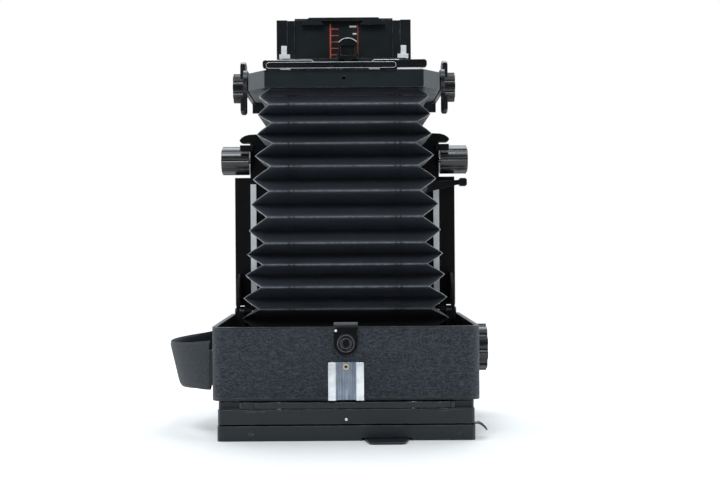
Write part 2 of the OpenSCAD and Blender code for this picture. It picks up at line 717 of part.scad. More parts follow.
module standard_base() color([0.10, 0.10, 0.11]) difference() {
    union() {
        span([-43, 43], [55.5, rail_y - 0.1], base_z);
        span([-track_in + 0.5, track_in - 0.5], [rail_y - 0.1, rail_y + 0.8],
            [base_z[0] + 4, base_z[1] - 8]);
        span([-5, 10.6], [57.9, rail_y - 0.1], [base_z[1], base_z[1] + 4]);
        for (x = [-18, 18]) cyl_y(2, [53.2, 55.5], x, lens_z, $fn = small_fn);
    }
    cyl_y(1.6, [54, 62], 2.8, base_z[1] + 0.5, $fn = small_fn);
    span([-4.4, 10], [54, 57.8], [base_z[1] - 4.2, base_z[1] + 1]);
}

module rail_clamps() color([0.8, 0.8, 0.82]) both_sides() {
    span([39.8, 43.6], [56.5, rail_y - 0.1], [base_z[1], base_z[1] + 9]);
    span([37.5, 45], [56, rail_y - 0.1], [base_z[1], base_z[1] + 3]);
}

// Arched, serrated lever that locks the standard on the rail
module standard_lock_lever() color([0.06, 0.06, 0.07]) {
    x = 2.8;
    difference() {
        along_y([54.4, 57.7]) difference() {
            union() {
                translate([x - 6.4, base_z[1] - 1]) square([12.8, 8]);
                intersection() {
                    translate([x, base_z[1] + 5.7]) circle(r = 8.2);
                    translate([x - 6.4, base_z[1] + 5]) square([12.8, 12]);
                }
                translate([x, base_z[1] + 0.5]) circle(r = 3.4);
            }
            for (k = [-2:2]) translate([x + k*2.4, base_z[1] + 14.5])
                circle(r = 0.7, $fn = small_fn);
        }
        span([x - 5, x + 5], [54, 55.2], [base_z[1] + 2, base_z[1] + 8.6]);
    }
    cyl_y(1.55, [57.7, rail_y - 0.2], x, base_z[1] + 0.5, $fn = small_fn);
}

module shift_plate() color([0.12, 0.12, 0.13]) {
    difference() {
        along_y([53.1, 55.4]) difference() {
            translate([-34, 209]) square([68, 19]);
            for (x = [-18, 18]) slot_2d([x - 12.2, x + 12.2], lens_z, 2 + run_fit);
        }
    }
    cyl_y(swing_pin_r, [50.3, 53.1], 0, lens_z);
}

module u_frame() color([0.10, 0.10, 0.11]) {
    difference() {
        along_y([51, 52.9]) difference() {
            translate([-arm_x[1], 207.5]) square([2*arm_x[1], 22]);
            translate([0, lens_z]) circle(r = swing_pin_r + run_fit);
        }
    }
    both_sides() along_x(arm_x) difference() {
        union() {
            translate([-25, arm_z[0]]) square([76, arm_z[1] - arm_z[0]]);
            translate([-25, lens_z + 1.6]) circle(r = (arm_z[1] - arm_z[0])/2);
        }
        slot_2d([-rise_slot, 0], lens_z, hub_r + run_fit);
    }
}

// Clamp discs with hubs that ride in the slots of the U frame
module rise_clamps() color([0.09, 0.09, 0.10]) both_sides() difference() {
    union() {
        cyl_x(hub_r, [60.6, 63.8], 0, lens_z);
        intersection() {
            union() {
                cyl_x(clamp_r, [64.3, 66.6], 0, lens_z);
                cyl_x(clamp_r - 0.5, [63.8, 67.1], 0, lens_z);
            }
            span([60, 70], [-8, 8], [lens_z - clamp_r - 1, lens_z + clamp_r + 1]);
        }
    }
    cyl_x(trunnion_r + run_fit, [60, 68], 0, lens_z);
    cyl_x(tilt_knob_r + 0.3, [64.9, 68], 0, lens_z);
}

module lens_frame_outline() polygon([
    [-49, -50], [49, -50], [lens_half, -34], [lens_half, 34], [49, 48.5], [-49, 48.5],
    [-lens_half, 34], [-lens_half, -34]
]);

module lens_frame() color([0.11, 0.11, 0.12]) difference() {
    translate([0, 0, lens_z - 5.4]) linear_extrude(10.8) lens_frame_outline();
    span([-37, 37], [-37, 37], [lens_z - 6, lens_z + 6]);
    span([-board/2, board/2], [-board/2, board/2], [lens_z + 2.6, lens_z + 6]);
    both_sides() cyl_x(trunnion_r, [54, 61], 0, lens_z, $fn = small_fn);
    cyl_y(1.3, [-51, -48], 0, lens_z + 0.4, $fn = small_fn);
}

module lens_trunnions() color([0.6, 0.6, 0.62]) both_sides()
    cyl_x(trunnion_r, [54, 72.3], 0, lens_z, $fn = small_fn);

// Bar across the top of the lens frame and the fixed lip at its foot
module lens_retainer() color([0.10, 0.10, 0.11]) {
    front_z = lens_z + 5.4;
    along_y([-50, -46.5]) difference() {
        round_rect([-50, 51], [front_z + 1.3, front_z + 6.1], 1.6);
        translate([-19, front_z + 4.4]) square([37, 3]);
    }
    for (x = [[-48, -39.5], [-32.8, 15.2], [22.2, 32.5]])
        span(x, [-50, -46.5], [front_z, front_z + 1.5]);
    span([-38, 38], [-46.5, -39.6], [front_z + 2.6, front_z + 4.2]);
    span([-38, 38], [40.5, 46.5], [front_z, front_z + 3]);
    span([-38, 38], [37, 40.5], [front_z + 1.4, front_z + 3]);
}

// Sliding catch of the lens board
module lens_lock_slider() color([0.13, 0.13, 0.14]) along_y([-51.7, -50.1]) {
    z = lens_z + 8.1;
    slot_2d([-47.6, 30.1], z, 1.9);
    translate([-49.4, z - 1.9]) square([17, 1.2]);
}

// Lock knob on a trunnion; it clamps the rise and the tilt of its side
module tilt_knob() color([0.05, 0.05, 0.06]) difference() {
    scalloped_wheel(tilt_knob_r, [65.2, 71.9], 0, lens_z, 9, 2, 0.9);
    cyl_x(trunnion_r + run_fit, [65, 75], 0, lens_z);
}

module tilt_knob_right() tilt_knob();

module tilt_knob_left() mirror([1, 0, 0]) tilt_knob();

body_shell();
leather_covering();
latch_plate();
index_dots();
accessory_shoe();
shoe_screw();
release_button();
latch_tongue();
catch_spring();
strap_lugs();
hand_strap();
side_knob_bush();
side_knob();
tripod_bush();
bed_hinge_pins();
bellows_rear_frame();
bellows();
back_plate();
revolving_ring();
ring_retainer();
back_guide_pins();
back_index_dot();
back_slider_top();
back_slider_bottom();
back_lever();
ground_glass_frame();
ground_glass();
back_springs();
back_screws();
hood_cover();
hood_hinge_pin();
bed_plate();
bed_cover();
bed_ways();
rail_guides();
bed_stays();
pinion_bushes();
focus_shaft();
focus_pinions();
focus_knobs();
lever_pivot_screw();
focus_lock_lever();
rail_plate();
rail_tracks();
focus_racks();
rail_front_lip();
scale_red();
scale_white();
standard_base();
rail_clamps();
standard_lock_lever();
shift_plate();
u_frame();
rise_clamps();
lens_frame();
lens_trunnions();
lens_retainer();
lens_lock_slider();
tilt_knob_left();
tilt_knob_right();
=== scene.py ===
"""Folding view camera standing on its back: materials, bellows, strap and studio round the CAD frame.

Metres, in the row frame: +Z along the optical axis towards the lens, -Y the top of the camera in use.
"""
import json
import math

import bmesh
import bpy
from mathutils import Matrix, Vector


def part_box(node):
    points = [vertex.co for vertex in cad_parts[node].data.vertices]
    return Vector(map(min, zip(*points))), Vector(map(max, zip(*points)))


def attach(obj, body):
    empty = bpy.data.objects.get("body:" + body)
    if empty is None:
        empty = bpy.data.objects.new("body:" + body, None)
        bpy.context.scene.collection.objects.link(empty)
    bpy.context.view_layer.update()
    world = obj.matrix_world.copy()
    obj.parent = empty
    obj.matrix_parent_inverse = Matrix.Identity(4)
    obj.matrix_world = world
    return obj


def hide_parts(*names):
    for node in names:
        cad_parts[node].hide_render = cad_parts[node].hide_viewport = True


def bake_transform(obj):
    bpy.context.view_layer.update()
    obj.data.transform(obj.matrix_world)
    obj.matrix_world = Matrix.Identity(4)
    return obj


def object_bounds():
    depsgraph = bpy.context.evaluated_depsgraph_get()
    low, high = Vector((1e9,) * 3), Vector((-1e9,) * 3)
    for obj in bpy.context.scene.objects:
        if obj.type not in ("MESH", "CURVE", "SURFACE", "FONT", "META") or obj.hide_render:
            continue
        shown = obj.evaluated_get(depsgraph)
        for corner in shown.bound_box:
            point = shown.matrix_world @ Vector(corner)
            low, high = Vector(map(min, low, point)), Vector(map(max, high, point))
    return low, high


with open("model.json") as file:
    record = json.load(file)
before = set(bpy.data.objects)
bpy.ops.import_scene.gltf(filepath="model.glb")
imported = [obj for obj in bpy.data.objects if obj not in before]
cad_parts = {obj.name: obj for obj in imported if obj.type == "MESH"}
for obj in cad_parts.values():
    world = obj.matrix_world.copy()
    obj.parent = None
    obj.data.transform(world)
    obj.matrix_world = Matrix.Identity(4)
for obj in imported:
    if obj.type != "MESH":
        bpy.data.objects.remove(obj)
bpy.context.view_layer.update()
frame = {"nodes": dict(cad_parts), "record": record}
MM = 0.001
# Painted shade: below this band the bellows is painted near black and reflects less
RIM_SHADE_BAND = (0.072, 0.084)  # height over which the bellows passes from inside the body to the open

# ---------------------------------------------------------------- node helpers


class Nodes:
    """Short calls for building one material's node tree."""

    def __init__(self, name):
        self.material = bpy.data.materials.new(name)
        self.material.use_nodes = True
        self.tree = self.material.node_tree
        self.shader = self.tree.nodes["Principled BSDF"]

    def put(self, socket, value):
        if isinstance(value, bpy.types.NodeSocket):
            self.tree.links.new(value, socket)
        else:
            socket.default_value = value

    def node(self, kind, settings=None, **inputs):
        made = self.tree.nodes.new("ShaderNode" + kind)
        for name, value in (settings or {}).items():
            setattr(made, name, value)
        for name, value in inputs.items():
            self.put(made.inputs[name.replace("_", " ")], value)
        return made

    def place(self, squeeze=(1, 1, 1)):
        """Object coordinates in metres, which move with the body; squeeze scales each axis."""
        where = self.node("TexCoord").outputs["Object"]
        return self.node("Mapping", Vector=where, Scale=squeeze).outputs["Vector"]

    def noise(self, scale, detail=3.0, roughness=0.55, where=None, distortion=0.0):
        made = self.node("TexNoise", Vector=where or self.place(), Scale=scale, Detail=detail,
                         Roughness=roughness, Distortion=distortion)
        return made.outputs["Fac"]

    def cells(self, scale, where, feature="DISTANCE_TO_EDGE", randomness=1.0):
        made = self.node("TexVoronoi", {"feature": feature}, Vector=where, Scale=scale,
                         Randomness=randomness)
        return made.outputs["Distance"]

    def remap(self, value, low, high, to_low=0.0, to_high=1.0):
        made = self.node("MapRange", {"clamp": True}, Value=value)
        for name, number in (("From Min", low), ("From Max", high), ("To Min", to_low), ("To Max", to_high)):
            made.inputs[name].default_value = number
        return made.outputs["Result"]

    def math(self, operation, a, b=0.0):
        made = self.node("Math", {"operation": operation})
        self.put(made.inputs[0], a)
        self.put(made.inputs[1], b)
        return made.outputs["Value"]

    def mix(self, share, a, b):
        made = self.node("Mix", {"data_type": "RGBA"})
        self.put(made.inputs["Factor"], share)
        self.put(made.inputs[6], a)
        self.put(made.inputs[7], b)
        return made.outputs[2]

    def bump(self, height, depth, under=None):
        made = self.node("Bump", Height=height, Strength=1.0, Distance=depth)
        if under is not None:
            self.put(made.inputs["Normal"], under)
        return made.outputs["Normal"]

    def soft_edge(self, radius):
        """Normals of an edge rounded by this radius."""
        return self.node("Bevel", {"samples": 4}, Radius=radius).outputs["Normal"]

    def edge_wear_and_highlight(self, rounded, low=0.004, high=0.09):
        """1 on edges, 0 on flats: how far the rounded normal leans from the flat one, broken up by noise;
        used to paint edges paler, partly as wear and partly as painted highlight.
        """
        true = self.node("NewGeometry").outputs["Normal"]
        dot = self.node("VectorMath", {"operation": "DOT_PRODUCT"})
        self.put(dot.inputs[0], rounded)
        self.put(dot.inputs[1], true)
        lean = self.math("SUBTRACT", 1.0, dot.outputs["Value"])
        patchy = self.remap(self.noise(260, 4.0), 0.42, 0.68)
        return self.math("MULTIPLY", self.remap(lean, low, high), patchy)

    def set(self, **inputs):
        for name, value in inputs.items():
            self.put(self.shader.inputs[name.replace("_", " ")], value)
        return self


# ---------------------------------------------------------------- materials


def satin_metal(name, dark, light, roughness, grain=0.00001, edge_wear_and_highlight_colour=(0.2, 0.205, 0.22, 1),
                edge=0.45*MM, ior=1.5):
    """Satin black paint or anodising on metal: faint mottling, fine tooth, edges painted a little brighter,
    partly as rubbed wear and partly as painted highlight.
    """
    n = Nodes(name)
    rounded = n.soft_edge(edge)
    colour = n.mix(n.noise(55, 5.0), (*dark, 1), (*light, 1))
    # Edges painted paler: partly rubbed wear, partly painted highlight on the rounded edges
    colour = n.mix(n.edge_wear_and_highlight(rounded), colour, edge_wear_and_highlight_colour)
    smear = n.remap(n.noise(34, 4.0, 0.7), 0.3, 0.75, roughness - 0.05, roughness + 0.1)
    tooth = n.bump(n.noise(5200, 2.0), grain, rounded)
    n.set(Base_Color=colour, Roughness=smear, Normal=tooth, Metallic=0.0, IOR=ior)
    return n.material


def moulded_black(name, roughness=0.2, coat=0.3):
    """Glossy black lacquer on turned knobs: turning marks, dust and an edge painted paler, partly as rubbing
    and partly as painted highlight.
    """
    n = Nodes(name)
    rounded = n.soft_edge(0.3*MM)
    colour = n.mix(n.noise(120, 4.0), (0.006, 0.006, 0.007, 1), (0.016, 0.017, 0.018, 1))
    # Edge painted paler: partly rubbed wear, partly painted highlight on the rounded edge
    colour = n.mix(n.edge_wear_and_highlight(rounded, 0.01, 0.12), colour, (0.11, 0.11, 0.115, 1))
    turned = n.noise(900, 2.0, where=n.place((5.0, 0.3, 0.3)))
    rough = n.remap(n.noise(70, 3.0), 0.3, 0.7, roughness - 0.06, roughness + 0.1)
    n.set(Base_Color=colour, Roughness=rough, Normal=n.bump(turned, 0.000002, rounded),
          Coat_Weight=coat, Coat_Roughness=0.12)
    return n.material


def pebbled_leather(name, dark, light, cell=0.0013, depth=0.0006, roughness=0.42, stretch=0.4,
                    ior=1.5):
    """Grained leather: a wavy running grain, longer round the body than along it, over fine pebbles,
    worn glossier on the tops, with painted highlight on the grain's tops and painted shade in its hollows."""
    n = Nodes(name)
    where = n.place((stretch, stretch, 1))
    bend = n.node("TexNoise", Vector=where, Scale=0.35/cell, Detail=2.0)
    drift = n.node("VectorMath", {"operation": "MULTIPLY_ADD"})
    n.put(drift.inputs[0], bend.outputs["Color"])
    drift.inputs[1].default_value = (cell*1.1,)*3
    n.put(drift.inputs[2], where)
    pebbles = n.remap(n.cells(1/cell, drift.outputs["Vector"]), 0.02, 0.42)
    fine = n.remap(n.cells(2.6/cell, drift.outputs["Vector"]), 0.0, 0.4)
    tops = n.math("ADD", n.math("MULTIPLY", pebbles, 0.75), n.math("MULTIPLY", fine, 0.25))
    running = n.noise(1.5/cell, 3.0, 0.6, where=where, distortion=1.3)
    height = n.math("ADD", n.math("MULTIPLY", tops, 0.4), n.math("MULTIPLY", running, 1.4))
    tint = n.mix(n.noise(26, 4.0), (*dark, 1), (*light, 1))
    # Painted highlight: the tops of the running grain painted much paler
    painted_highlight_crown = n.mix(n.remap(running, 0.44, 0.72), tint, tuple(c*4.2 for c in light) + (1,))
    # Painted shade: the hollows of the running grain painted near black
    colour = n.mix(n.remap(running, 0.3, 0.5), tuple(c*0.12 for c in dark) + (1,), painted_highlight_crown)
    shine = n.remap(tops, 0.1, 0.9, roughness + 0.25, roughness - 0.06)
    n.set(Base_Color=colour, Roughness=shine, Normal=n.bump(height, depth), IOR=ior,
          Sheen_Weight=0.06, Sheen_Roughness=0.5)
    return n.material


def bellows_cloth(name):
    """Rubberised bellows leather: close matt grain, bluish black, with painted highlight along the ridges and
    corner creases, dark seams at the card edges, and painted shade on the folds inside the body.
    """
    n = Nodes(name)
    highlight_and_seam = n.node("Attribute", {"attribute_name": "fold_edge"}).outputs["Fac"]
    # Painted highlight on the ridges and corner creases; the negative part marks the dark card seams
    fold_highlight = n.remap(highlight_and_seam, 0.0, 1.0)
    seam = n.remap(highlight_and_seam, 0.0, -0.5)
    where = n.place()
    grain = n.remap(n.cells(1500, where), 0.0, 0.5)
    creases = n.noise(420, 5.0, 0.65, where=n.place((1.0, 1.0, 2.6)), distortion=0.6)
    tint = n.mix(n.remap(n.noise(38, 5.0), 0.3, 0.72), (0.0060, 0.0078, 0.0120, 1),
                 (0.0105, 0.0135, 0.020, 1))
    tint = n.mix(n.math("MULTIPLY", seam, 0.8), tint, (0.004, 0.004, 0.0045, 1))
    # Painted highlight: ridges and corner creases painted pale, broken up in patches
    painted_fold_highlight = n.math("MULTIPLY", fold_highlight, n.remap(n.noise(330, 4.0), 0.28, 0.62, 0.35, 1.0))
    colour = n.mix(painted_fold_highlight, tint, (0.55, 0.58, 0.63, 1))
    # Painted shade: the folds that sit down inside the body are painted near black and reflect less
    up = n.node("SeparateXYZ", Vector=where).outputs["Z"]
    outside_painted_shade = n.remap(up, *RIM_SHADE_BAND)
    colour = n.mix(outside_painted_shade, (0.0012, 0.0013, 0.0016, 1), colour)
    rough = n.remap(n.noise(90, 4.0), 0.3, 0.7, 0.44, 0.58)
    height = n.math("ADD", n.math("MULTIPLY", grain, 0.45), creases)
    n.set(Base_Color=colour, Roughness=rough, Normal=n.bump(height, 0.00011), Sheen_Weight=0.04,
          Sheen_Roughness=0.45, IOR=1.40, Specular_IOR_Level=n.remap(up, *RIM_SHADE_BAND, 0.15, 0.5))
    return n.material


def bright_metal(name, tint, roughness, brush=(1, 1, 1), scratch=0.000004, metallic=1.0):
    """Bare metal: brushing along one axis, smudges and small scratches."""
    n = Nodes(name)
    rounded = n.soft_edge(0.2*MM)
    lines = n.noise(1400, 3.0, 0.6, where=n.place(brush))
    smudge = n.noise(45, 5.0, 0.7)
    colour = n.mix(n.remap(smudge, 0.35, 0.75), (*tint, 1), tuple(c*0.78 for c in tint) + (1,))
    rough = n.remap(smudge, 0.3, 0.8, roughness - 0.05, roughness + 0.12)
    n.set(Base_Color=colour, Metallic=metallic, Roughness=rough, Normal=n.bump(lines, scratch, rounded))
    return n.material


def shoe_chrome(name):
    """Plated accessory shoe: painted reflection, with the channel painted darker than the lips, and rubbed
    tracks along it.
    """
    n = Nodes(name)
    rounded = n.soft_edge(0.25*MM)
    where = n.node("TexCoord").outputs["Object"]
    across = n.node("SeparateXYZ", Vector=where).outputs["X"]
    lips = n.remap(n.math("ABSOLUTE", across), 0.0056, 0.0066)
    tracks = n.remap(n.noise(900, 3.0, 0.6, where=n.place((1, 1, 0.03))), 0.4, 0.62)
    painted_dark_channel = n.mix(tracks, (0.17, 0.20, 0.25, 1), (0.29, 0.33, 0.40, 1))
    # Painted reflection: the lips painted bright, the channel painted dark
    colour = n.mix(lips, painted_dark_channel, (0.82, 0.84, 0.87, 1))
    smudge = n.remap(n.noise(140, 4.0), 0.35, 0.7, 0.14, 0.3)
    n.set(Base_Color=colour, Metallic=1.0, Roughness=smudge,
          Normal=n.bump(n.noise(1500, 3.0, where=n.place((1, 1, 0.05))), 0.000004, rounded))
    return n.material


def screw_head(name, node, rim, middle, share):
    """Screw head: plated rim round a middle painted dark as painted shade in its recess, both a little
    scuffed.
    """
    n = Nodes(name)
    lo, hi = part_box(node)
    from_centre = n.node("VectorMath", {"operation": "MULTIPLY_ADD"})
    n.put(from_centre.inputs[0], n.place())
    from_centre.inputs[1].default_value = (1, 0, 1)
    from_centre.inputs[2].default_value = (-(lo.x + hi.x)/2, 0, -(lo.z + hi.z)/2)
    reach = n.node("VectorMath", {"operation": "LENGTH"})
    n.put(reach.inputs[0], from_centre.outputs["Vector"])
    edge = (hi.x - lo.x)/2*share
    ring = n.remap(reach.outputs["Value"], edge*0.9, edge*1.1)
    scuffed = n.mix(n.noise(900, 4.0), (*rim, 1), tuple(c*0.7 for c in rim) + (1,))
    # Painted shade: the recessed middle is painted dark
    n.set(Base_Color=n.mix(ring, (*middle, 1), scuffed), Metallic=0.7,
          Roughness=n.remap(n.noise(300, 3.0), 0.3, 0.7, 0.22, 0.4),
          Normal=n.bump(n.noise(2400, 3.0), 0.000004, n.soft_edge(0.2*MM)))
    return n.material


def frosted_glass(name):
    """Ground glass: fine frosting that still lets light through."""
    n = Nodes(name)
    colour = n.mix(n.noise(60, 4.0), (0.72, 0.76, 0.75, 1), (0.82, 0.85, 0.84, 1))
    n.set(Base_Color=colour, Roughness=n.remap(n.noise(500, 3.0), 0.3, 0.7, 0.48, 0.62),
          Normal=n.bump(n.noise(9000, 2.0), 0.00001), Transmission_Weight=0.55, IOR=1.5)
    return n.material


def mark_paint(name, tint):
    """Filled engraving: slightly chalky paint with worn spots."""
    n = Nodes(name)
    spots = n.remap(n.noise(700, 4.0), 0.35, 0.5)
    colour = n.mix(spots, tuple(c*0.55 for c in tint) + (1,), (*tint, 1))
    n.set(Base_Color=colour, Roughness=n.remap(n.noise(400, 2.0), 0.3, 0.7, 0.45, 0.6),
          Normal=n.bump(n.noise(3000, 2.0), 0.00001))
    return n.material


def floor_paper(name):
    """Pale studio paper, a little uneven in tone, that fades out into the white surroundings."""
    n = Nodes(name)
    colour = n.mix(n.noise(3.0, 3.0), (0.74, 0.73, 0.72, 1), (0.78, 0.77, 0.76, 1))
    n.set(Base_Color=colour, Roughness=n.remap(n.noise(40, 3.0), 0.3, 0.7, 0.55, 0.62),
          Specular_IOR_Level=0.2)
    reach = n.node("VectorMath", {"operation": "LENGTH"})
    n.put(reach.inputs[0], n.place())
    fade = n.remap(reach.outputs["Value"], 0.45, 1.1)
    blend = n.node("MixShader")
    n.put(blend.inputs[0], fade)
    n.put(blend.inputs[1], n.shader.outputs[0])
    n.put(blend.inputs[2], n.node("BsdfTransparent").outputs[0])
    n.put(n.tree.nodes["Material Output"].inputs["Surface"], blend.outputs[0])
    return n.material


ALLOY = satin_metal("black_alloy", (0.0060, 0.0080, 0.0105), (0.0105, 0.0135, 0.0175), 0.38)
CRINKLE = satin_metal("crinkle_black", (0.0022, 0.0022, 0.0024), (0.0045, 0.0045, 0.005), 0.6,
                      0.00004, ior=1.25)
RETAINER = satin_metal("retainer_black", (0.004, 0.0050, 0.006), (0.008, 0.0095, 0.011), 0.26)
LATCH = satin_metal("latch_black", (0.0014, 0.0015, 0.0017), (0.0028, 0.0030, 0.0034), 0.3,
                    edge=0.5*MM, ior=1.25)
STEEL_BLACK = satin_metal("black_steel", (0.0055, 0.0070, 0.009), (0.0095, 0.0120, 0.0152), 0.34)
INSIDE = satin_metal("flat_black", (0.006, 0.006, 0.0065), (0.011, 0.011, 0.012), 0.7)
FRAME_ENAMEL = satin_metal("frame_enamel", (0.009, 0.0125, 0.0145), (0.0145, 0.019, 0.022), 0.30)
GLOSS = moulded_black("gloss_black")
BODY_LEATHER = pebbled_leather("body_leather", (0.0078, 0.0098, 0.0140), (0.0130, 0.0163, 0.0228), ior=1.42)
STRAP_LEATHER = pebbled_leather("strap_leather", (0.0065, 0.0080, 0.0105), (0.0110, 0.0135, 0.017),
                                cell=0.0009, depth=0.00014, roughness=0.5, stretch=1.0, ior=1.33)
BELLOWS = bellows_cloth("bellows_cloth")
CHROME = shoe_chrome("chrome")
STEEL = bright_metal("bright_steel", (0.66, 0.67, 0.69), 0.26, (1, 1, 0.04))
GREY_STEEL = bright_metal("grey_steel", (0.26, 0.27, 0.29), 0.3, (1, 1, 0.05))
SILVER = bright_metal("satin_silver", (0.95, 0.95, 0.95), 0.42, (1, 1, 0.04), metallic=0.05)
SHOE_SCREW = screw_head("shoe_screw_brass", "shoe_screw", (0.80, 0.66, 0.42), (0.03, 0.026, 0.02), 0.5)
BRASS = bright_metal("brass", (0.78, 0.57, 0.27), 0.3, (0.1, 1, 1))
GLASS = frosted_glass("ground_glass")
WHITE = mark_paint("white_mark", (0.88, 0.88, 0.85))
RED = mark_paint("red_mark", (0.62, 0.10, 0.045))

BY_SLOT = {
    "black_alloy": ALLOY, "black_steel": STEEL_BLACK, "gloss_black": GLOSS,
    "body_leather": BODY_LEATHER, "strap_leather": STRAP_LEATHER, "bellows_leather": BELLOWS,
    "chrome": CHROME, "bright_steel": STEEL, "brass": BRASS, "ground_glass": GLASS,
    "white_mark": WHITE, "red_mark": RED,
}
BY_NODE = {
    "focus_knobs": GLOSS, "focus_lock_lever": GLOSS, "standard_lock_lever": GLOSS,
    "lens_frame": FRAME_ENAMEL, "rail_plate": FRAME_ENAMEL, "bellows_rear_frame": INSIDE,
    "revolving_ring": INSIDE, "back_lever": GLOSS, "back_screws": STEEL_BLACK,
    "latch_plate": LATCH, "release_button": LATCH, "bed_plate": CRINKLE, "bed_stays": CRINKLE,
    "lens_retainer": RETAINER, "lens_lock_slider": RETAINER, "back_slider_top": RETAINER,
    "shoe_screw": SHOE_SCREW, "bed_ways": SILVER, "rail_clamps": SILVER, "latch_tongue": GREY_STEEL,
}


def paint_cad_nodes():
    for part in frame["record"]["subparts"]:
        name = part["node"]
        mesh = frame["nodes"][name].data
        mesh.materials.clear()
        mesh.materials.append(BY_NODE.get(name, BY_SLOT[part["material_slot"]]))


# ---------------------------------------------------------------- mesh helpers


def add_piece(name, verts, faces, material, body, smooth_angle=35):
    """A mesh object that rides on a body, shaded smooth below the given angle."""
    mesh = bpy.data.meshes.new(name)
    mesh.from_pydata(verts, [], faces)
    mesh.validate()
    piece = bpy.data.objects.new(name, mesh)
    bpy.context.scene.collection.objects.link(piece)
    mesh.materials.append(material)
    work = bmesh.new()
    work.from_mesh(mesh)
    bmesh.ops.recalc_face_normals(work, faces=work.faces)
    work.to_mesh(mesh)
    work.free()
    for polygon in mesh.polygons:
        polygon.use_smooth = True
    mesh.set_sharp_from_angle(angle=math.radians(smooth_angle))
    if body:
        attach(piece, body)
    return piece


def ring_faces(first, second, count):
    return [(first + i, first + (i + 1) % count, second + (i + 1) % count, second + i)
            for i in range(count)]


# ---------------------------------------------------------------- bellows

FOLDS = 14
LEVELS = 2*FOLDS
BELLOWS_LO, BELLOWS_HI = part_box("bellows")
HALF_REAR = 64*MM
TAPER = 0.08
FOLD_DEPTH = 11.5*MM
FRONT_HALF = 46*MM
BED_SIDE = BELLOWS_HI.y
CARD_HALF = 34*MM  # half width of the stiffening cards between the corner creases
# Zones of the folds, each stretching across one joint: first and last level, then the two bodies
ZONES = (
    ("tilt", 0, 3, "rise_clamps", "lens_frame"),
    ("rise", 3, 6, "u_frame", "rise_clamps"),
    ("swing", 6, 8, "shift_plate", "u_frame"),
    ("shift", 8, 10, "standard_base", "shift_plate"),
    ("travel", 10, 12, "focus_rail", "standard_base"),
    ("focus", 12, 21, "bed", "focus_rail"),
    ("drop", 21, 28, "camera_body", "bed"),
)


def level_height(k):
    t = k/LEVELS
    spread = t - 0.22*math.sin(2*math.pi*t)/(2*math.pi) + 0.012*(1 - math.cos(2*math.pi*t))
    spread -= 0.021*smooth(t, 0.48, 0.62)*smooth(1 - t, 0.0, 0.2)
    return BELLOWS_HI.z - (BELLOWS_HI.z - BELLOWS_LO.z)*spread


def level_halves(k):
    """Half size of a level on X, on the top side and on the bed side."""
    z = level_height(k)
    out = HALF_REAR - TAPER*max(0.0, z - 71*MM)
    inside = out - min(FOLD_DEPTH, 7*MM + 0.22*max(0.0, 205*MM - z))
    if k == 0:
        return FRONT_HALF, FRONT_HALF, FRONT_HALF
    if k % 2 == 0:
        return inside, out, min(out, BED_SIDE)
    return out, inside, min(inside, BED_SIDE - FOLD_DEPTH)


def crease(distance, width):
    return math.exp(-(distance/width)**2)


def smooth(value, low, high):
    t = min(1.0, max(0.0, (value - low)/(high - low)))
    return t*t*(3 - 2*t)


def bellows_row(k, t):
    """Height and the three half sizes at share t of the panel between levels k and k + 1.
    Each crease is rounded, and the panel swells a little between them."""
    a, b = level_halves(k), level_halves(min(k + 1, LEVELS))
    z0, z1 = level_height(k), level_height(min(k + 1, LEVELS))
    z = z0 + (z1 - z0)*t
    length = z0 - z1
    halves = []
    for from_half, to_half in zip(a, b):
        rise = 1 if to_half > from_half else -1
        half = from_half + (to_half - from_half)*t
        half += rise*0.42*MM*crease(t*length, 0.9*MM)
        half -= rise*0.42*MM*crease((1 - t)*length, 0.9*MM)
        halves.append(half + 0.28*MM*math.sin(math.pi*t))
    return z, halves


def side_points(half_along, across, t):
    """Points along one side as (along, out), with the card standing proud of the soft corners."""
    corner = 1.1*MM
    steps = (-1.0, -0.985, -0.95, -0.88, -0.8, -0.72)
    stops = [half_along*s for s in steps]
    card_edge = [CARD_HALF + d*MM for d in (0.6, 0, -0.6, -2.4, -3, -3.6)]
    stops += [-c for c in card_edge]
    stops += [CARD_HALF*s/6 for s in range(-4, 5)]
    stops += card_edge
    stops += [-s for s in reversed(stops[:6])]
    stops = sorted(stops)
    points = []
    for along in stops[:-1]:
        card = smooth(CARD_HALF + 0.3*MM - abs(along), 0, 0.6*MM)
        card = card*smooth(t, 0.05, 0.14)*smooth(1 - t, 0.05, 0.14)
        edge = (half_along - abs(along))/MM
        rounding = corner*0.55*crease(edge, 1.0)
        points.append((along, across + 0.24*MM*card - rounding, edge*MM))
    return points


def bellows_ring(k, t, inset):
    """One closed ring of the bellows and, for each point, how much painted highlight the fold there gets,
    less at the card seams.
    """
    z, (half_x, top, bottom) = bellows_row(k, t)
    length = level_height(k) - level_height(min(k + 1, LEVELS))
    half_x, top, bottom = half_x - inset, top - inset, bottom - inset
    middle = (bottom - top)/2
    half_y = (bottom + top)/2
    ring, fold_highlights = [], []
    for side in range(4):
        along_half, across = (half_x, half_y) if side % 2 == 0 else (half_y, half_x)
        turn = side*math.pi/2
        ridge_first = (level_halves(k)[1] > level_halves(min(k + 1, LEVELS))[1]) == (side % 2 == 0)
        from_ridge = (t if ridge_first else 1 - t)*length
        for along, out, from_corner in side_points(along_half, across, t):
            x, y = along, -out
            ring.append((x*math.cos(turn) - y*math.sin(turn),
                         x*math.sin(turn) + y*math.cos(turn) + middle, z))
            # Painted highlight along the ridge and the corner crease
            fold_highlight = max(0.3*crease(from_ridge, 0.45*MM), crease(from_corner, 0.45*MM))
            past_card = abs(along) - CARD_HALF
            seam = max(crease(past_card, 0.4*MM), 0.8*crease(past_card + 3*MM, 0.4*MM))
            fold_highlights.append(fold_highlight - 0.5*seam*(1 - fold_highlight))
    return ring, fold_highlights


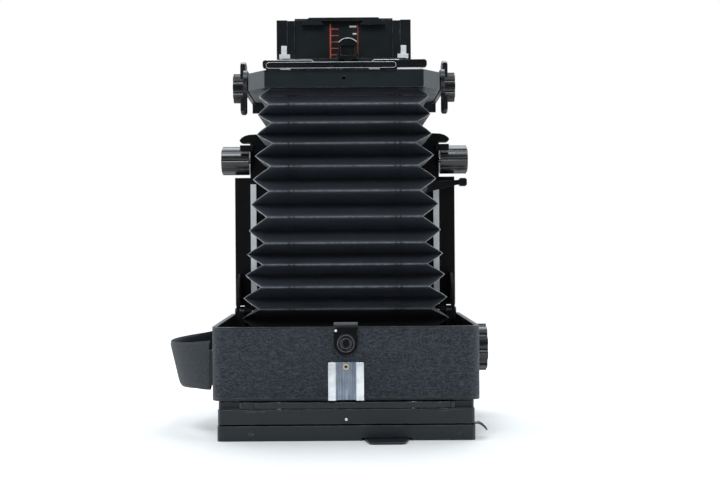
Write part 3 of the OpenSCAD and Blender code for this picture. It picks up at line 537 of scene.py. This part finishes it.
def bellows_zone(name, first, last, rear_body, front_body):
    shares = (0.0, 0.035, 0.08, 0.16, 0.3, 0.5, 0.7, 0.84, 0.92, 0.965)
    rows = [(k, t) for k in range(first, last) for t in shares] + [(last - 1, 1.0)]
    verts, fold_highlights, faces = [], [], []
    for inset in (0.0, 0.7*MM):
        for k, t in rows:
            ring, fold_highlight = bellows_ring(k, t, inset)
            verts += ring
            fold_highlights += fold_highlight if inset == 0.0 else [0.0]*len(ring)
    count = len(verts)//(2*len(rows))
    inner = count*len(rows)
    for r in range(len(rows) - 1):
        faces += ring_faces(r*count, (r + 1)*count, count)
        faces += ring_faces(inner + r*count, inner + (r + 1)*count, count)
    faces += ring_faces(0, inner, count)
    faces += ring_faces((len(rows) - 1)*count, inner + (len(rows) - 1)*count, count)
    piece = add_piece("bellows_" + name, verts, faces, BELLOWS, None, 48)
    painted_fold_highlight = piece.data.attributes.new("fold_edge", "FLOAT", "POINT")
    painted_fold_highlight.data.foreach_set("value", fold_highlights)
    rear, front = level_height(last), level_height(first)
    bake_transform(piece)
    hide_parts("bellows")
    return piece


def make_bellows():
    for zone in ZONES:
        bellows_zone(*zone)


# ---------------------------------------------------------------- hand strap

STRAP_HEIGHT = 43.5*MM
STRAP_HALF_THICK = 1.15*MM


def strap_bow(u):
    """How far the band stands out at u from -1 to 1 along it, as a share of its peak."""
    return max(0.0, 1 - abs(u)**2.3)


def strap_middle(u, lug_x, peak_x, half_length):
    """Middle of the band at u: bowed out, with its ends turned in along the lugs."""
    return Vector((lug_x + (peak_x - lug_x)*strap_bow(u), half_length*u))


def make_strap():
    """Padded leather band with a pressed line along each edge, leaning out at the foot of its bow."""
    lo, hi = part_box("hand_strap")
    lug_x, peak_x = hi.x + 0.4*MM, lo.x + 1.2*MM
    half_length = (hi.y - lo.y)/2 + 1.5*MM
    stations, across = 80, 17
    profile = [(-1 + 2*i/(across - 1), 1) for i in range(across)]
    profile += [(v, -1) for v, _ in reversed(profile)]
    verts, faces = [], []
    for s in range(stations + 1):
        u = -1 + 2*s/stations
        here = strap_middle(u, lug_x, peak_x, half_length)
        ahead = strap_middle(u + 0.01, lug_x, peak_x, half_length)
        along = (ahead - here).normalized()
        normal = Vector((-along.y, along.x))
        bow = strap_bow(u)
        centre_z = STRAP_HEIGHT - 2.6*MM*bow
        half_width = (14.2 + 0.8*smooth(abs(u), 0.75, 1.0))*MM
        for v, face in profile:
            thick = STRAP_HALF_THICK*math.sqrt(max(0.0, 1 - abs(v)**9))
            pressed = 0.22*MM*crease(abs(v) - 0.82, 0.035)
            lean = -3.4*MM*v*bow
            off = max(0.12*MM, thick - pressed)*face
            verts.append((here.x + lean + normal.x*off, here.y + normal.y*off, centre_z + half_width*v))
    count = len(profile)
    for s in range(stations):
        faces += ring_faces(s*count, (s + 1)*count, count)
    faces.append(tuple(range(count)))
    faces.append(tuple(reversed(range(stations*count, (stations + 1)*count))))
    strap = add_piece("hand_strap_leather", verts, faces, STRAP_LEATHER, "camera_body",
                      60)
    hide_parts("hand_strap")


# ---------------------------------------------------------------- small fittings

# X limits in millimetres of the bright strips above the lens frame, painted light where light shows through
# the gap
GAP_LIGHT_SPANS = ((-39.3, -33.0), (15.4, 22.0), (32.7, 48.5))


def boxes(name, spans, material, body):
    """Plain blocks, each given by its X, Y and Z limits in millimetres."""
    verts, faces = [], []
    for xs, ys, zs in spans:
        base = len(verts)
        verts += [(x*MM, y*MM, z*MM) for z in zs for y in ys for x in xs]
        faces += [tuple(base + i for i in f) for f in ((0, 1, 3, 2), (4, 6, 7, 5), (0, 4, 5, 1),
                                                      (2, 3, 7, 6), (0, 2, 6, 4), (1, 5, 7, 3))]
    return add_piece(name, verts, faces, material, body)


def rod(name, path, radius, material, body, closed=False):
    """Round wire along a path of points in metres."""
    sides = 8
    verts, faces = [], []
    count = len(path)
    for i, point in enumerate(path):
        before = path[i - 1] if closed or i else point
        after = path[(i + 1) % count] if closed or i < count - 1 else point
        along = (Vector(after) - Vector(before)).normalized()
        across = along.cross(Vector((0, 1, 0))).normalized()
        up = along.cross(across)
        for s in range(sides):
            a = 2*math.pi*s/sides
            verts.append(Vector(point) + (across*math.cos(a) + up*math.sin(a))*radius)
    rings = count if closed else count - 1
    for i in range(rings):
        faces += ring_faces(i*sides, ((i + 1) % count)*sides, sides)
    if not closed:
        faces += [tuple(range(sides)), tuple(reversed(range((count - 1)*sides, count*sides)))]
    return add_piece(name, verts, faces, material, body, 60)


def circle(centre_x, y, centre_z, radius, degrees):
    """Points at these angles round an axis along Y, measured from +X towards +Z."""
    return [(centre_x + radius*math.cos(math.radians(a)), y, centre_z + radius*math.sin(math.radians(a)))
            for a in degrees]


def make_gap_light_strips():
    """Bright strips put in the gap between the lens frame and the retainer bar: painted light where light
    shows through the gap.
    """
    lo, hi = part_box("lens_frame")
    depth = (lo.y/MM + 0.3, lo.y/MM + 2.6)
    gap = (hi.z/MM + 0.05, hi.z/MM + 1.15)
    boxes("gap_light_strips", [(x_span, depth, gap) for x_span in GAP_LIGHT_SPANS], SILVER, "lens_frame")


def make_lever_highlight():
    """Painted highlight: a bright bead laid round the arched head of the standard's lock lever."""
    lo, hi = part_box("standard_lock_lever")
    radius = 8.2*MM
    angles = [139 - 98*i/20 for i in range(21)]
    arc = circle((lo.x + hi.x)/2, lo.y + 0.1*MM, hi.z - radius, radius, angles)
    rod("lock_lever_highlight", arc, 0.32*MM, SILVER, "standard_lock_lever")


def make_retainer_edge_highlight():
    """Painted highlight: a bright wire along the front edge of the retainer bar, dipping between its two
    raised ends.
    """
    lo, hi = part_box("lens_retainer")
    front, top, dip = lo.y - 0.05*MM, hi.z - 0.1*MM, hi.z - 1.7*MM
    profile = ((-0.048, top), (-0.0196, top), (-0.0184, dip), (0.0172, dip), (0.0184, top), (0.034, top))
    rod("retainer_edge_highlight", [(x, front, z) for x, z in profile], 0.2*MM, SILVER, "lens_frame")


def make_slider_edge_highlight():
    """Painted highlight: a bright wire round the outline of the sliding board catch."""
    lo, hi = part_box("lens_lock_slider")
    front = lo.y - 0.05*MM
    half = (hi.z - lo.z)/2 - 0.1*MM
    middle = (hi.z + lo.z)/2
    outline = circle(hi.x - half, front, middle, half, range(90, -91, -20))
    outline += circle(lo.x + half + 1.8*MM, front, middle, half, range(270, 89, -20))
    rod("slider_edge_highlight", outline, 0.1*MM, SILVER, "lens_lock_slider", closed=True)


def make_button_highlight_rings():
    """Painted highlights: two thin grey rings, one round the release button and one on its face."""
    lo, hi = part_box("release_button")
    for label, share in (("outer", 1.14), ("inner", 0.7)):
        ring = circle(0, lo.y - 0.02*MM, (lo.z + hi.z)/2, (hi.x - lo.x)/2*share, range(0, 360, 12))
        rod("button_highlight_ring_" + label, ring, 0.15*MM, GREY_STEEL, "release_catch",
            closed=True)


# ---------------------------------------------------------------- studio

EYE_DISTANCE = 0.839
EYE_HEIGHT = 0.1188
LENS_MM = 64.2
ROLL_DEG = 0.4
SHIFT_X = 0.0207
SHIFT_Y = 0.0011


def make_camera():
    data = bpy.data.cameras.new("camera")
    data.lens = LENS_MM
    data.sensor_width = 36
    data.shift_x, data.shift_y = SHIFT_X, SHIFT_Y
    data.clip_start, data.clip_end = 0.01, 50
    camera = bpy.data.objects.new("camera", data)
    camera.location = (0, -EYE_DISTANCE, EYE_HEIGHT)
    camera.rotation_euler = (math.pi/2, math.radians(ROLL_DEG), 0)
    bpy.context.scene.collection.objects.link(camera)
    bpy.context.scene.camera = camera


def area_light(name, place, aim, size, power):
    data = bpy.data.lights.new(name, "AREA")
    data.shape = "RECTANGLE"
    data.size, data.size_y = size
    data.energy = power
    data.color = (0.92, 0.965, 1.0)
    light = bpy.data.objects.new(name, data)
    light.location = place
    light.rotation_euler = (Vector(aim) - Vector(place)).to_track_quat("-Z", "Y").to_euler()
    bpy.context.scene.collection.objects.link(light)


def make_world():
    """White surroundings as seen, but lit like a tent: bright sides, top and back, dim towards the camera."""
    world = bpy.data.worlds.new("studio")
    world.use_nodes = True
    tree = world.node_tree
    tree.nodes.clear()

    def node(kind, **settings):
        made = tree.nodes.new("ShaderNode" + kind)
        for name, value in settings.items():
            setattr(made, name, value)
        return made

    def ramp(value, low, high, top):
        made = node("MapRange", interpolation_type="SMOOTHSTEP")
        tree.links.new(value, made.inputs["Value"])
        for name, number in (("From Min", low), ("From Max", high), ("To Max", top)):
            made.inputs[name].default_value = number
        return made.outputs["Result"]

    def math_node(operation, a, b=None):
        made = node("Math", operation=operation)
        tree.links.new(a, made.inputs[0])
        if b is not None:
            tree.links.new(b, made.inputs[1])
        return made.outputs["Value"]

    split = node("SeparateXYZ")
    tree.links.new(node("TexCoord").outputs["Generated"], split.inputs["Vector"])
    side = ramp(math_node("ABSOLUTE", split.outputs["X"]), 0.35, 0.9, 1.2)
    back = ramp(split.outputs["Y"], 0.0, 0.7, 0.75)
    above = ramp(split.outputs["Z"], 0.35, 0.95, 0.8)
    light = math_node("MAXIMUM", side, math_node("MAXIMUM", back, above))
    dim = node("Math", operation="ADD")
    tree.links.new(light, dim.inputs[0])
    dim.inputs[1].default_value = 0.03
    lit, seen = node("Background"), node("Background")
    tree.links.new(dim.outputs["Value"], lit.inputs["Strength"])
    lit.inputs["Color"].default_value = (0.88, 0.95, 1.0, 1)
    seen.inputs["Color"].default_value = (1, 1, 1, 1)
    mix = node("MixShader")
    tree.links.new(node("LightPath").outputs["Is Camera Ray"], mix.inputs[0])
    tree.links.new(lit.outputs[0], mix.inputs[1])
    tree.links.new(seen.outputs[0], mix.inputs[2])
    tree.links.new(mix.outputs[0], node("OutputWorld").inputs["Surface"])
    bpy.context.scene.world = world


def make_studio():
    bpy.context.scene.view_settings.view_transform = "Standard"
    make_world()
    bpy.ops.mesh.primitive_plane_add(size=2.4)
    floor = bpy.context.object
    floor.name = "floor"
    floor.location.z = min(0.0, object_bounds()[0].z)
    floor.data.materials.append(floor_paper("floor_paper"))
    area_light("top_box", (0.0, 0.8, 1.3), (0, 0.0, 0.1), (1.9, 1.1), 24)
    area_light("front_box", (-0.2, -0.95, 1.5), (0, -0.1, 0.05), (0.9, 0.6), 14)
    area_light("left_box", (-1.25, 0.1, 0.7), (0, 0, 0.15), (0.9, 1.0), 3.5)
    area_light("right_box", (1.25, 0.05, 0.65), (0, 0, 0.15), (0.9, 1.0), 3)


# ---------------------------------------------------------------- assembly

make_camera()
paint_cad_nodes()
make_bellows()
make_strap()
make_gap_light_strips()
make_lever_highlight()
make_retainer_edge_highlight()
make_slider_edge_highlight()
make_button_highlight_rings()
make_studio()
